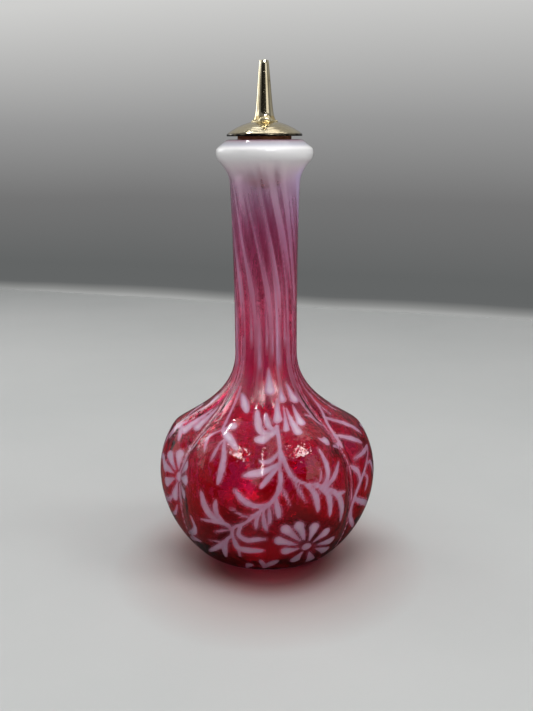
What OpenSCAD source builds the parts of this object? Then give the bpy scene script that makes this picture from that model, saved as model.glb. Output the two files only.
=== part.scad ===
// Barber bottle: a blown glass bottle with a lobed bulb and a long neck, closed by a cork that
// carries a domed metal pourer. The axis of the bottle is Z and it stands on the plane z = 0.

/* [Bulb] */
// Number of lobes round the bulb
lobe_count = 6; // [4:1:9]
// Outer radius of the ring that the bottle stands on
foot_r = 24; // [21:0.5:27]
// Height of the belly on a lobe
belly_z = 37; // [32:0.5:42]
// Radius of the belly on a lobe
belly_r = 45.8; // [42:0.2:50]
// Height of the belly in a groove between two lobes
groove_belly_z = 34; // [30:0.5:38]
// Radius of the belly in a groove between two lobes
groove_belly_r = 40; // [36:0.2:43]
// Height of the shoulder on a lobe
shoulder_z = 58; // [54:0.5:60]
// Radius of the shoulder on a lobe
shoulder_r = 38.6; // [37:0.2:42]
// Height of the shoulder in a groove
groove_shoulder_z = 51.5; // [48:0.5:54]
// Radius of the shoulder in a groove
groove_shoulder_r = 33; // [30:0.2:36]
// Thickness of the bulb's wall
bulb_wall = 2.8; // [2:0.1:3.6]
// Thickness of the glass under the bulb
floor_t = 3; // [2:0.1:4]
// Width of the ring that touches the table
foot_ring_w = 5; // [3:0.5:8]
// Height of the hollow pushed up into the bottom
kick_h = 6; // [3:0.5:8]

/* [Neck and lip] */
// Height where the shoulder has become the neck
neck_foot_z = 88; // [82:1:96]
// Outer radius of the neck at its foot
neck_r = 12.9; // [11.5:0.1:14]
// Outer radius of the neck just under the lip
neck_top_r = 14.4; // [13.6:0.1:15]
// Thickness of the neck's wall
neck_wall = 3.1; // [2:0.1:3.4]
// Height of the glass, from the table to the top of the lip
glass_h = 175; // [165:1:190]
// Outer radius of the rolled lip
lip_r = 19.8; // [18:0.1:22]
// Height of the rolled lip
lip_h = 10.6; // [8:0.1:11]
// Height of the flare that carries the neck out to the lip
flare_h = 8.5; // [8:0.5:14]
// Radius of the round inside edge of the mouth
mouth_round = 2.4; // [1:0.1:3]

/* [Cork] */
// Radius of the cork level with the top of the lip
cork_r = 10.9; // [10.4:0.1:11.4]
// Radius of the cork at its lower end
cork_end_r = 9.7; // [9:0.1:10.2]
// How deep the cork goes into the neck
cork_depth = 17; // [12:0.5:24]
// Gap between the cork and the ground mouth
cork_gap = 0.12; // [0.08:0.01:0.3]
// Bevel on the cork's lower edge
cork_bevel = 0.8; // [0.3:0.1:1.5]

/* [Pourer] */
// Outer radius of the tube through the cork
stem_r = 2.8; // [2.4:0.1:3.2]
// Wall of the tube through the cork
stem_wall = 0.5; // [0.3:0.05:0.8]
// Running gap between the tube and the cork
stem_gap = 0.05; // [0.02:0.01:0.1]
// Gap round the tube where it is soldered to other metal
solder_gap = 0.03; // [0.02:0.01:0.1]
// How far the tube reaches up into the spout
stem_socket = 3; // [2:0.25:5]
// Radius of the tube's spread lower end
stem_flange_r = 3.8; // [3.5:0.1:4.5]
// Thickness of the tube's spread lower end
stem_flange_t = 0.8; // [0.4:0.1:1.2]
// Radius of the washer under the cork
washer_r = 6; // [5:0.1:7.5]
// Thickness of the washer
washer_t = 1; // [0.6:0.1:1.6]
// Gap between the turning metal and the ends of the cork
cork_end_gap = 0.15; // [0.1:0.05:0.3]
// Outer radius of the domed cap
cap_r = 15.3; // [14:0.1:17]
// Gap between the lip and the rim of the cap
cap_rim_gap = 1.3; // [0.6:0.1:2.5]
// Height of the upright edge of the cap's rim
cap_rim_h = 0.8; // [0.3:0.1:1.5]
// Height of the domed cap
cap_h = 5.6; // [5:0.1:8]
// Thickness of the cap's metal
cap_t = 0.6; // [0.4:0.05:0.9]
// Radius of the flat on top of the cap that the spout sits on
cap_flat_r = 5.4; // [5.2:0.1:6.5]
// Radius of the spout's foot
spout_foot_r = 5; // [4.4:0.1:5.2]
// Upright edge of the spout's foot
spout_foot_edge = 0.4; // [0.2:0.1:0.8]
// Length of the spout above the cap
spout_len = 24.1; // [18:0.1:32]
// Outer radius of the spout at its tip
spout_tip_r = 1.9; // [1.6:0.05:2.2]
// Radius of the hole at the spout's tip
spout_hole_r = 1.25; // [0.9:0.05:1.3]

/* [Hidden] */
$fn = 96;

// Facets round one lobe, and steps along each stretch of the bulb's outline
lobe_facets = 12;
lower_steps = 8;
upper_steps = 5;
shoulder_steps = 10;
bulb_facets = lobe_count * lobe_facets;

// The neck starts this far down inside the bulb's wall, and this much thinner
neck_lap = 4;
neck_lap_inset = 0.9;
// The neck reaches its full radius this far above the bulb
neck_lap_end = 0.5;
// Spare length of a cutting shape past the face that it opens
cut_past = 1;

// Slope at which the wall leaves the foot ring, and reach of that start
foot_slope = 0.41;
foot_reach = 8.5;
// Upward pull of the outline below and above the belly
belly_pull_down = 20;
belly_pull_up = 10;
// Direction of the outline at the shoulder of a lobe and of a groove, as outward and downward pulls
shoulder_pull = [2.4, -2.5];
groove_shoulder_pull = [3.8, -4.8];
// Reach of the hollow curve above the shoulder, and of the straight start of the neck
shoulder_reach = 1.75;
neck_pull = 20;
groove_neck_pull = 16;
// Straight start of the neck's own curve, and the pull of its slow widening under the flare
neck_straight = 29;
neck_widen_pull = [0.9, 15];
// Pulls of the flare at the neck and under the lip, and the angle where the lip's round begins
flare_pull = [0.3, 3.5];
lip_pull = [1.7, 2];
lip_start = -30;
// Pulls of the spout's outline at its foot and at its tip
spout_foot_pull = [-1.7, 0.9];
spout_tip_pull = [1.45, -15.8];

cap_rim_z = glass_h + cap_rim_gap;
cap_top_z = cap_rim_z + cap_h;
cap_shoulder_z = cap_rim_z + cap_rim_h;
// Centre height and radius of the sphere that the cap's dome belongs to
cap_centre_z = (cap_shoulder_z + cap_top_z) / 2
    - (pow(cap_r, 2) - pow(cap_flat_r, 2)) / (2 * (cap_top_z - cap_shoulder_z));
cap_sphere_r = norm([cap_r, cap_shoulder_z - cap_centre_z]);
cap_inner_r = cap_sphere_r - cap_t;
// The cork's top edge lies just under the dome
cork_top_z = min(cap_centre_z + sqrt(pow(cap_inner_r, 2) - pow(cork_r, 2)), cap_top_z - cap_t) - cork_end_gap;
cork_end_z = glass_h - cork_depth;
washer_top_z = cork_end_z - cork_end_gap;
washer_end_z = washer_top_z - washer_t;
stem_end_z = washer_end_z - stem_flange_t;
stem_top_z = cap_top_z + stem_socket;
spout_tip_z = cap_top_z + spout_len;

// A cubic curve through four control points, as points that are evenly spaced along its parameter
function cubic(p, t) =
    pow(1 - t, 3) * p[0] + 3 * t * pow(1 - t, 2) * p[1] + 3 * t * t * (1 - t) * p[2] + pow(t, 3) * p[3];
function curve(p, steps) = [for (i = [0:steps]) cubic(p, i / steps)];
function after_first(points) = [for (i = [1:len(points) - 1]) points[i]];
function arc(centre, r, from, to, steps) =
    [for (i = [0:steps]) let (a = from + (to - from) * i / steps) centre + r * [cos(a), sin(a)]];

// Outline of the bulb from the foot ring to the neck, as [radius, height], along a lobe or a groove
function bulb_outline(belly, shoulder, pull, neck_start) =
    let (
        foot = [foot_r, 0],
        neck = [neck_r, neck_foot_z],
        lower = [foot, foot + foot_reach * [1, foot_slope], belly - [0, belly_pull_down], belly],
        upper = [belly, belly + [0, belly_pull_up], shoulder + pull, shoulder],
        hollow = [shoulder, shoulder - shoulder_reach * pull, neck - [0, neck_start], neck]
    )
    concat(
        curve(lower, lower_steps),
        after_first(curve(upper, upper_steps)),
        after_first(curve(hollow, shoulder_steps))
    );

lobe_outline = bulb_outline([belly_r, belly_z], [shoulder_r, shoulder_z], shoulder_pull, neck_pull);
groove_outline = bulb_outline(
    [groove_belly_r, groove_belly_z], [groove_shoulder_r, groove_shoulder_z],
    groove_shoulder_pull, groove_neck_pull
);

// The same outline, moved inwards by the wall, with a level floor and a level top
function inset_point(outline, i) =
    let (along = outline[i + 1] - outline[i - 1])
    outline[i] + bulb_wall * [-along[1], along[0]] / norm(along);
function inside_outline(outline) = concat(
    [[foot_r - bulb_wall, floor_t]],
    [for (i = [2:len(outline) - 2]) inset_point(outline, i)],
    [[neck_r - neck_wall, neck_foot_z]]
);

// Share of the lobe at an angle: 1 on the crown of a lobe, 0 in the groove
function lobe_share(angle) =
    let (turn = angle * lobe_count / 360, off_crown = 1 - abs(2 * (turn - floor(turn)) - 1))
    1 - pow(off_crown, 2);
function bulb_point(lobe, groove, angle) =
    let (p = groove + (lobe - groove) * lobe_share(angle))
    [p[0] * cos(angle), p[0] * sin(angle), p[1]];

// Solid inside a lobed surface, lofted ring by ring between a lobe's outline and a groove's
module lobed_solid(lobe, groove) {
    rings = len(lobe);
    n = bulb_facets;
    points = [for (i = [0:rings - 1]) for (j = [0:n - 1]) bulb_point(lobe[i], groove[i], j * 360 / n)];
    bottom = [for (j = [0:n - 1]) j];
    top = [for (j = [n - 1:-1:0]) (rings - 1) * n + j];
    lower_half = [
        for (i = [0:rings - 2]) for (j = [0:n - 1]) [i * n + j, (i + 1) * n + j, (i + 1) * n + (j + 1) % n]
    ];
    upper_half = [
        for (i = [0:rings - 2]) for (j = [0:n - 1]) [i * n + j, (i + 1) * n + (j + 1) % n, i * n + (j + 1) % n]
    ];
    polyhedron(points = points, faces = concat([bottom], lower_half, upper_half, [top]));
}

// Neck with its flare and rolled lip, solid
module neck_outside() {
    lip_round = lip_h / 2;
    lip_centre = [lip_r - lip_round, glass_h - lip_round];
    lip_side = lip_centre + lip_round * [cos(lip_start), sin(lip_start)];
    flare_z = lip_side[1] - flare_h;
    neck_steps = 10;
    flare_steps = 6;
    lip_steps = 8;
    neck_start = [neck_r, neck_foot_z + neck_lap_end];
    neck_end = [neck_top_r, flare_z];
    neck_curve = [neck_start, neck_start + [0, neck_straight], neck_end - neck_widen_pull, neck_end];
    flare_curve = [neck_end, neck_end + flare_pull, lip_side - lip_pull, lip_side];
    rotate_extrude()
        polygon(concat(
            [[0, neck_foot_z - neck_lap], [neck_r - neck_lap_inset, neck_foot_z - neck_lap]],
            curve(neck_curve, neck_steps),
            after_first(curve(flare_curve, flare_steps)),
            after_first(arc(lip_centre, lip_round, lip_start, 90, lip_steps)),
            [[0, glass_h]]
        ));
}

// Bore of the neck, the tapered seat of the cork and the round edge of the mouth
module neck_inside() {
    bore_r = neck_r - neck_wall;
    seat_r = cork_r + cork_gap;
    seat_end_r = cork_end_r + cork_gap;
    seat_slope = (seat_r - seat_end_r) / cork_depth;
    mouth_z = glass_h - mouth_round;
    mouth_r = seat_r - seat_slope * mouth_round;
    mouth_steps = 6;
    rotate_extrude()
        polygon(concat(
            [
                [0, neck_foot_z - neck_lap],
                [bore_r - neck_lap_inset, neck_foot_z - neck_lap],
                [bore_r, neck_foot_z + neck_lap_end],
                [seat_end_r, cork_end_z]
            ],
            arc([mouth_r + mouth_round, mouth_z], mouth_round, 180, 90, mouth_steps),
            [[mouth_r + mouth_round, glass_h + cut_past], [0, glass_h + cut_past]]
        ));
}

// Ball whose top makes the hollow pushed up into the bottom, or the rise in the floor over it
module kick_ball(thicker) {
    ring_r = foot_r - foot_ring_w;
    ball_r = (pow(ring_r, 2) + pow(kick_h, 2)) / (2 * kick_h);
    translate([0, 0, kick_h - ball_r])
        sphere(r = ball_r + thicker);
}

module glass_bottle() {
    color("#a3123c")
        difference() {
            union() {
                lobed_solid(lobe_outline, groove_outline);
                neck_outside();
            }
            difference() {
                union() {
                    lobed_solid(inside_outline(lobe_outline), inside_outline(groove_outline));
                    neck_inside();
                }
                kick_ball(floor_t);
            }
            kick_ball(0);
        }
}

module cork() {
    bevel_r = cork_end_r + (cork_r - cork_end_r) * cork_bevel / cork_depth;
    color("#7a4426")
        rotate_extrude()
            polygon([
                [stem_r + stem_gap, cork_end_z],
                [cork_end_r - cork_bevel, cork_end_z],
                [bevel_r, cork_end_z + cork_bevel],
                [cork_r, glass_h],
                [cork_r, cork_top_z],
                [stem_r + stem_gap, cork_top_z]
            ]);
}

module dome_cap() {
    dome_steps = 12;
    inner_rim_r = cap_r - cap_t;
    flat_end_z = cap_top_z - cap_t;
    centre = [0, cap_centre_z];
    outer_from = acos(cap_r / cap_sphere_r);
    outer_to = acos(cap_flat_r / cap_sphere_r);
    inner_from = asin((flat_end_z - cap_centre_z) / cap_inner_r);
    inner_to = acos(inner_rim_r / cap_inner_r);
    color("#b9ad92")
        rotate_extrude()
            polygon(concat(
                [[cap_r, cap_rim_z]],
                arc(centre, cap_sphere_r, outer_from, outer_to, dome_steps),
                [[stem_r + solder_gap, cap_top_z], [stem_r + solder_gap, flat_end_z]],
                arc(centre, cap_inner_r, inner_from, inner_to, dome_steps),
                [[inner_rim_r, cap_rim_z]]
            ));
}

module spout() {
    spout_steps = 12;
    edge = [spout_foot_r, cap_top_z + spout_foot_edge];
    tip = [spout_tip_r, spout_tip_z];
    outside = [edge, edge + spout_foot_pull, tip + spout_tip_pull, tip];
    bore_r = stem_r - stem_wall;
    color("#c2b79d")
        rotate_extrude()
            polygon(concat(
                [[stem_r + solder_gap, cap_top_z], [spout_foot_r, cap_top_z]],
                curve(outside, spout_steps),
                [
                    [spout_hole_r, spout_tip_z],
                    [bore_r, stem_top_z + solder_gap],
                    [stem_r + solder_gap, stem_top_z + solder_gap]
                ]
            ));
}

module stem_tube() {
    bore_r = stem_r - stem_wall;
    color("#a99c80")
        rotate_extrude()
            polygon([
                [bore_r, stem_end_z],
                [stem_flange_r, stem_end_z],
                [stem_flange_r, washer_end_z],
                [stem_r, washer_end_z],
                [stem_r, stem_top_z],
                [bore_r, stem_top_z]
            ]);
}

module stem_washer() {
    color("#988b70")
        translate([0, 0, washer_end_z])
            difference() {
                cylinder(r = washer_r, h = washer_t);
                translate([0, 0, -cut_past])
                    cylinder(r = stem_r + solder_gap, h = washer_t + 2 * cut_past);
            }
}

glass_bottle();
cork();
dome_cap();
spout();
stem_tube();
stem_washer();
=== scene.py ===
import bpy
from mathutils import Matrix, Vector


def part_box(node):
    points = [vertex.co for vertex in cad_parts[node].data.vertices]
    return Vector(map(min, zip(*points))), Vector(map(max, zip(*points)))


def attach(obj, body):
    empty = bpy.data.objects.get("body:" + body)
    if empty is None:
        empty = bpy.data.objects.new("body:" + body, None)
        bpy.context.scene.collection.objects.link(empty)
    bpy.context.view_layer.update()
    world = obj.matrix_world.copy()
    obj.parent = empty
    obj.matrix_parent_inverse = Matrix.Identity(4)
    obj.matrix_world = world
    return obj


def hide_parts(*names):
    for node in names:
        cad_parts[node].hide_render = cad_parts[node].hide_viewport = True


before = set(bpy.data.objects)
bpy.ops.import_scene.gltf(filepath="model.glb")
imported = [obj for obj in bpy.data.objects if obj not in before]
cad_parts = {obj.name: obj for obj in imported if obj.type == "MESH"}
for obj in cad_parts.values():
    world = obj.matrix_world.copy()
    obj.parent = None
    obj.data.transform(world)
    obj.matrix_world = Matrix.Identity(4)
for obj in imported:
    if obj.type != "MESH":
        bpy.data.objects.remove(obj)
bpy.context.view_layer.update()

import math

import bpy
import numpy as np
from mathutils import Vector
from mathutils.kdtree import KDTree

# Glass bottle. One piece of ruby glass over a milky heat-struck layer, blown into a six-lobed mould that leaves
# ferns and daisies in milky white. The neck is drawn out and twisted a little by hand, so the pattern runs into
# streaks there, and the lip is rolled outwards, where the glass has turned wholly white.
MM = 0.001
LOBES = 6
FACETS = 360
GROOVE_SOFTNESS = 0.09
WALL = 2.8
NECK_WALL = 3.1
FLOOR = 3.0
KICK = 6.0
FOOT_RING_INSIDE = 19.0
FOOT_RING_MIDDLE = 21.5
FOOT = np.array([24.0, 0.0])
FOOT_PULL = (8.5, 3.5)
BELLY_PULL_DOWN = (0, 20)
BELLY_PULL_UP = (0, 10)
NECK_FOOT = np.array([12.9, 88.0])
NECK_TOP = np.array([14.4, 158.55])
LIP_CENTRE = np.array([14.5, 169.7])
LIP_ROUND = 5.3
LIP_ROUND_FROM = -30
LIP_ROUND_TO = 9
LIP_BEVEL_LOW = np.array([19.4, 171.5])
LIP_BEVEL_HIGH = np.array([16.0, 174.45])
LIP_TOP = 175.0
CORK_END = 158.0
SEAT_END_R = 9.82
MOUTH_R = 10.85
MOUTH_ROUND = 2.4
RIPPLE = 0.05
RIPPLE_FINENESS = 85.0
RIPPLE_FADES_FROM = 135.0
RIPPLE_FADES_TO = 150.0


def curve(start, leaving, arriving, end, steps):
    """Points of a cubic curve in (radius, height), without its first point."""
    t = np.linspace(0, 1, steps + 1)[1:, None]
    start, leaving, arriving, end = (np.asarray(p, float) for p in (start, leaving, arriving, end))
    return start * (1 - t)**3 + 3 * leaving * t * (1 - t)**2 + 3 * arriving * t * t * (1 - t) + end * t**3


def arc(centre, radius, start, end, steps):
    """Points of a round in (radius, height), between two angles in degrees."""
    turn = np.radians(np.linspace(start, end, steps + 1))
    return np.asarray(centre) + radius * np.stack([np.cos(turn), np.sin(turn)], -1)


def bulb_side(belly, shoulder, pull, neck_pull):
    """Outside of the bulb from its foot to the neck, along the crown of a lobe or along a groove."""
    belly, shoulder, pull = np.array(belly), np.array(shoulder), np.array(pull)
    return np.concatenate([
        FOOT[None],
        curve(FOOT, FOOT + FOOT_PULL, belly - BELLY_PULL_DOWN, belly, 50),
        curve(belly, belly + BELLY_PULL_UP, shoulder + pull, shoulder, 24),
        curve(shoulder, shoulder - 1.75 * pull, NECK_FOOT - (0, neck_pull), NECK_FOOT, 44),
    ])


def inside_of(side):
    """The inside of the bulb's wall, from the neck down to the floor."""
    along = np.gradient(side, axis=0)
    inward = np.stack([-along[:, 1], along[:, 0]], -1) / np.linalg.norm(along, axis=1)[:, None]
    return (side + WALL * inward)[-4:2:-4]


crown_side = bulb_side(belly=(45.71, 37.0), shoulder=(38.6, 58.0), pull=(2.4, -2.5), neck_pull=20)
groove_side = bulb_side(belly=(40.0, 34.0), shoulder=(33.0, 51.5), pull=(3.8, -4.8), neck_pull=16)
kick_r = (FOOT_RING_INSIDE**2 + KICK**2) / (2 * KICK)
kick_centre = (0.0, KICK - kick_r)
kick_edge = math.degrees(math.acos(FOOT_RING_INSIDE / kick_r))
rise_r = kick_r + FLOOR
rise_edge = math.degrees(math.asin((FLOOR - kick_centre[1]) / rise_r))
lip_start = arc(LIP_CENTRE, LIP_ROUND, LIP_ROUND_FROM, LIP_ROUND_FROM, 1)[0]
lip_edge = arc(LIP_CENTRE, LIP_ROUND, LIP_ROUND_TO, LIP_ROUND_TO, 1)[0]
lip_crest = np.array([LIP_CENTRE[0], LIP_TOP])
under = np.concatenate([arc(kick_centre, kick_r, 90, kick_edge, 8), [[FOOT_RING_MIDDLE, 0.0]]])
neck = np.concatenate([
    curve(NECK_FOOT, NECK_FOOT + (0, 29.5), NECK_TOP - (0.9, 15), NECK_TOP, 36),
    curve(NECK_TOP, NECK_TOP + (0.3, 3.5), lip_start - (1.7, 2), lip_start, 10),
    arc(LIP_CENTRE, LIP_ROUND, LIP_ROUND_FROM, LIP_ROUND_TO, 6)[1:],
    curve(lip_edge, lip_edge + (-0.1, 0.5), LIP_BEVEL_LOW + (0.2, -0.17), LIP_BEVEL_LOW, 3),
    np.linspace(LIP_BEVEL_LOW, LIP_BEVEL_HIGH, 6)[1:],
    curve(LIP_BEVEL_HIGH, LIP_BEVEL_HIGH + (-0.4, 0.34), lip_crest + (0.6, 0), lip_crest, 4),
])
bore = np.concatenate([
    arc((MOUTH_R + MOUTH_ROUND, LIP_TOP - MOUTH_ROUND), MOUTH_ROUND, 90, 180, 6),
    np.linspace((MOUTH_R, LIP_TOP - MOUTH_ROUND), (SEAT_END_R, CORK_END), 4)[1:],
    np.linspace((SEAT_END_R, CORK_END), (NECK_FOOT[0] - NECK_WALL, NECK_FOOT[1]), 9)[1:],
])
floor = np.concatenate([[[FOOT[0] - WALL, FLOOR]], arc(kick_centre, rise_r, rise_edge, 90, 8)])
crown = np.concatenate([under, crown_side, neck, bore, inside_of(crown_side), floor])
groove = np.concatenate([under, groove_side, neck, bore, inside_of(groove_side), floor])
foot_ring = len(under)
lip_ring = foot_ring + len(crown_side) + len(neck) - 1


def wire(tree, kind, inputs=None, **options):
    """A new node with its options set, and each input given a value or a link from another node's socket."""
    made = tree.nodes.new(kind)
    for name, value in options.items():
        setattr(made, name, value)
    for key, value in (inputs or {}).items():
        if isinstance(value, bpy.types.NodeSocket):
            tree.links.new(value, made.inputs[key])
        else:
            made.inputs[key].default_value = value
    return made


def sums(tree, operation, *values):
    """The result socket of one step of arithmetic."""
    return wire(tree, "ShaderNodeMath", dict(enumerate(values)), operation=operation).outputs[0]


lobed = bpy.data.node_groups.new("lobed_glass", "GeometryNodeTree")
lobed_sizes = {}
for name, kind in (
    ("Outline", "Geometry"), ("Rings", "Int"), ("Facets", "Int"), ("Lobes", "Int"), ("Groove Softness", "Float"),
    ("Inside From", "Int"), ("Ripple", "Float"), ("Finish", "Material"),
):
    socket = lobed.interface.new_socket(name, in_out="INPUT", socket_type="NodeSocket" + kind)
    lobed_sizes[name] = socket.identifier
lobed.interface.new_socket("Glass", in_out="OUTPUT", socket_type="NodeSocketGeometry")
given = lobed.nodes.new("NodeGroupInput").outputs
columns = sums(lobed, "ADD", given["Facets"], 1)
sheet = wire(lobed, "GeometryNodeMeshGrid", {"Vertices X": columns, "Vertices Y": given["Rings"]})
index = lobed.nodes.new("GeometryNodeInputIndex").outputs[0]
ring = sums(lobed, "MODULO", index, given["Rings"])
column = sums(lobed, "FLOOR", sums(lobed, "DIVIDE", sums(lobed, "ADD", index, 0.5), given["Rings"]))
part_turn = sums(lobed, "DIVIDE", column, given["Facets"])
angle = sums(lobed, "MULTIPLY", part_turn, math.tau)
in_lobe = sums(lobed, "FRACT", sums(lobed, "MULTIPLY", part_turn, given["Lobes"]))
off_groove = sums(lobed, "ABSOLUTE", sums(lobed, "SUBTRACT", sums(lobed, "MULTIPLY", in_lobe, 2.0), 1.0))
rounded = sums(lobed, "SQRT", sums(lobed, "ADD", sums(lobed, "POWER", off_groove, 2.0),
                                   sums(lobed, "POWER", given["Groove Softness"], 2.0)))
share = sums(lobed, "SUBTRACT", 1.0, sums(lobed, "POWER", sums(lobed, "SUBTRACT", 1.0, rounded), 2.0))
crown_place = lobed.nodes.new("GeometryNodeInputPosition").outputs[0]
groove_place = wire(lobed, "GeometryNodeInputNamedAttribute", {"Name": "groove"},
                    data_type="FLOAT_VECTOR").outputs[0]
on_crown, on_groove = (
    wire(lobed, "GeometryNodeSampleIndex", {"Geometry": given["Outline"], "Value": place, "Index": ring},
         data_type="FLOAT_VECTOR").outputs[0]
    for place in (crown_place, groove_place)
)
between = wire(lobed, "ShaderNodeMix", {0: share, 4: on_groove, 5: on_crown}, data_type="VECTOR").outputs[1]
flat_place = wire(lobed, "ShaderNodeSeparateXYZ", {0: between}).outputs
turned_place = wire(lobed, "ShaderNodeCombineXYZ", {
    0: sums(lobed, "MULTIPLY", flat_place[0], sums(lobed, "COSINE", angle)),
    1: sums(lobed, "MULTIPLY", flat_place[0], sums(lobed, "SINE", angle)),
    2: flat_place[2],
}).outputs[0]
ripple_noise = wire(lobed, "ShaderNodeTexNoise", {
    "Vector": turned_place, "Scale": RIPPLE_FINENESS, "Detail": 2.0,
}).outputs[0]
blown_unevenly = sums(lobed, "SUBTRACT", ripple_noise, 0.5)
below_cork = wire(lobed, "ShaderNodeMapRange", {
    0: flat_place[2], 1: RIPPLE_FADES_FROM * MM, 2: RIPPLE_FADES_TO * MM, 3: 1.0, 4: 0.0,
}).outputs[0]
inside = sums(lobed, "MULTIPLY", sums(lobed, "GREATER_THAN", ring, given["Inside From"]), below_cork)
uneven_inside = sums(lobed, "MULTIPLY", blown_unevenly, inside)
swell = sums(lobed, "ADD", 1.0, sums(lobed, "MULTIPLY", uneven_inside, given["Ripple"]))
uneven_place = wire(lobed, "ShaderNodeVectorMath", {
    0: turned_place, 1: wire(lobed, "ShaderNodeCombineXYZ", {0: swell, 1: swell, 2: 1.0}).outputs[0],
}, operation="MULTIPLY").outputs[0]
marked = wire(lobed, "GeometryNodeStoreNamedAttribute", {
    "Geometry": sheet.outputs["Mesh"], "Name": "ring", "Value": ring,
}, data_type="FLOAT", domain="POINT").outputs[0]
placed = wire(lobed, "GeometryNodeSetPosition", {"Geometry": marked, "Position": uneven_place}).outputs[0]
closed = wire(lobed, "GeometryNodeMergeByDistance", {"Geometry": placed, "Distance": 1e-5}).outputs[0]
smooth = wire(lobed, "GeometryNodeSetShadeSmooth", {"Geometry": closed, "Shade Smooth": True}).outputs[0]
real = wire(lobed, "GeometryNodeRealizeInstances", {"Geometry": smooth}).outputs[0]
finished = wire(lobed, "GeometryNodeSetMaterial", {"Geometry": real, "Material": given["Finish"]}).outputs[0]
lobed.links.new(finished, lobed.nodes.new("NodeGroupOutput").inputs[0])


def colour_stops(tree, factor, stops):
    """A colour that changes along stops of (place, red, green, blue)."""
    ramp = wire(tree, "ShaderNodeValToRGB", {0: factor})
    for _ in stops[2:]:
        ramp.color_ramp.elements.new(0.5)
    for stop, (place, *rgb) in zip(ramp.color_ramp.elements, stops):
        stop.position = place
        stop.color = (*rgb, 1)
    return ramp.outputs[0]


def span(tree, value, low, high, to_low=0.0, to_high=1.0, kind="SMOOTHSTEP"):
    """A value carried from one span to another, with soft ends."""
    return wire(tree, "ShaderNodeMapRange", {0: value, 1: low, 2: high, 3: to_low, 4: to_high},
                interpolation_type=kind).outputs[0]


def blend_colour(tree, factor, under, over, how="MIX"):
    """One colour laid over another."""
    return wire(tree, "ShaderNodeMix", {0: factor, 6: under, 7: over}, data_type="RGBA", blend_type=how).outputs[2]


def grain(tree, place, scale, detail=3.0, roughness=0.55):
    """Soft random variation, from 0 to 1."""
    return wire(tree, "ShaderNodeTexNoise", {
        "Vector": place, "Scale": scale, "Detail": detail, "Roughness": roughness,
    }).outputs[0]


def up_from_table(tree, place):
    """The height above the table."""
    return wire(tree, "ShaderNodeSeparateXYZ", {0: place}).outputs[2]


def off_axis(tree, place):
    """The distance from the bottle's axis."""
    flat = wire(tree, "ShaderNodeMapping", {"Vector": place, "Scale": (1, 1, 0)}).outputs[0]
    return wire(tree, "ShaderNodeVectorMath", {0: flat}, operation="LENGTH").outputs["Value"]


def band(tree, height, rise, full, fade, end):
    """1 in a band of heights given in mm, and 0 above and below it, with soft ends."""
    rising = span(tree, height, rise * MM, full * MM)
    falling = span(tree, height, fade * MM, end * MM, 1, 0)
    return sums(tree, "MULTIPLY", rising, falling)


def new_finish(name):
    """An empty material with its shader, and the place on the piece that its patterns read."""
    finish = bpy.data.materials.new(name)
    finish.use_nodes = True
    tree = finish.node_tree
    place = wire(tree, "ShaderNodeTexCoord").outputs["Object"]
    return finish, tree, tree.nodes["Principled BSDF"], place


# Colours up the bottle, from the foot to the lip. The ruby is a deep dark red at the foot and paler up the bulb and
# neck; part of this is the glass's own colour, and part is painted shade low down and painted light higher up. The
# milky white turns wholly white at the lip, its own colour, and is lightened at the very foot as painted light.
RUBY_WITH_PAINTED_SHADE_UP_BOTTLE = [
    (0.0, 0.30, 0.00005, 0.001), (0.10, 0.27, 0.0001, 0.0015), (0.20, 0.39, 0.00015, 0.003),
    (0.28, 0.58, 0.0006, 0.017), (0.48, 0.84, 0.006, 0.080), (0.62, 0.96, 0.07, 0.19),
    (0.80, 0.72, 0.09, 0.26), (0.90, 0.62, 0.30, 0.54), (1.0, 0.9, 0.86, 0.92),
]
OPAL_WITH_PAINTED_LIGHT_UP_BOTTLE = [
    (0.0, 0.82, 0.55, 0.82), (0.1, 0.68, 0.44, 0.68), (0.2, 0.72, 0.47, 0.72), (0.45, 0.64, 0.41, 0.67),
    (0.60, 0.80, 0.42, 0.65), (0.80, 0.70, 0.37, 0.62), (0.90, 0.92, 0.62, 0.80), (0.94, 0.96, 0.84, 0.87),
    (0.96, 0.98, 0.96, 0.96),
]
DEEP_RUBY = (0.62, 0.2, 0.3, 1)
ROSY_EDGE = (0.88, 0.16, 0.30, 1)
COLOURLESS = (1, 1, 1, 1)
BEVEL_PAINTED_SHADE = (0.37, 0.37, 0.46, 1)
MOUTH_PLUM_AND_CAP_SHADOW = (0.30, 0.15, 0.20, 1)
VIOLET_TINT = (0.80, 0.60, 1.0, 1)
DENSE_OPAL = (0.93, 0.82, 0.98, 1)
MILK_ROUGHNESS = 0.55
NECK_FOOT_ROUGHNESS = 0.25
WAVE_DEPTH = 0.0015
ruby_glass, tree, shader, place = new_finish("ruby_glass_with_opal")
height = up_from_table(tree, place)
from_axis = off_axis(tree, place)
up_bottle = span(tree, height, 0.0, LIP_TOP * MM, kind="LINEAR")
opal_edge, veil, skin, violet = (
    wire(tree, "ShaderNodeAttribute", attribute_name=name).outputs["Fac"]
    for name in ("opal", "veil", "skin", "violet")
)
feather = sums(tree, "MULTIPLY", sums(tree, "SUBTRACT", grain(tree, place, 500, 2), 0.5), 0.55)
soft_edge = sums(tree, "ADD", opal_edge, feather)
flush = span(tree, soft_edge, -0.9, 0.0, 0, 0.5)
opal = span(tree, soft_edge, -0.45, 0.8)
cloud = span(tree, grain(tree, place, 240, 3), 0.25, 0.75, 0.78, 0.98)
milk = sums(tree, "MAXIMUM", sums(tree, "MULTIPLY", opal, cloud), veil)
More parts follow.
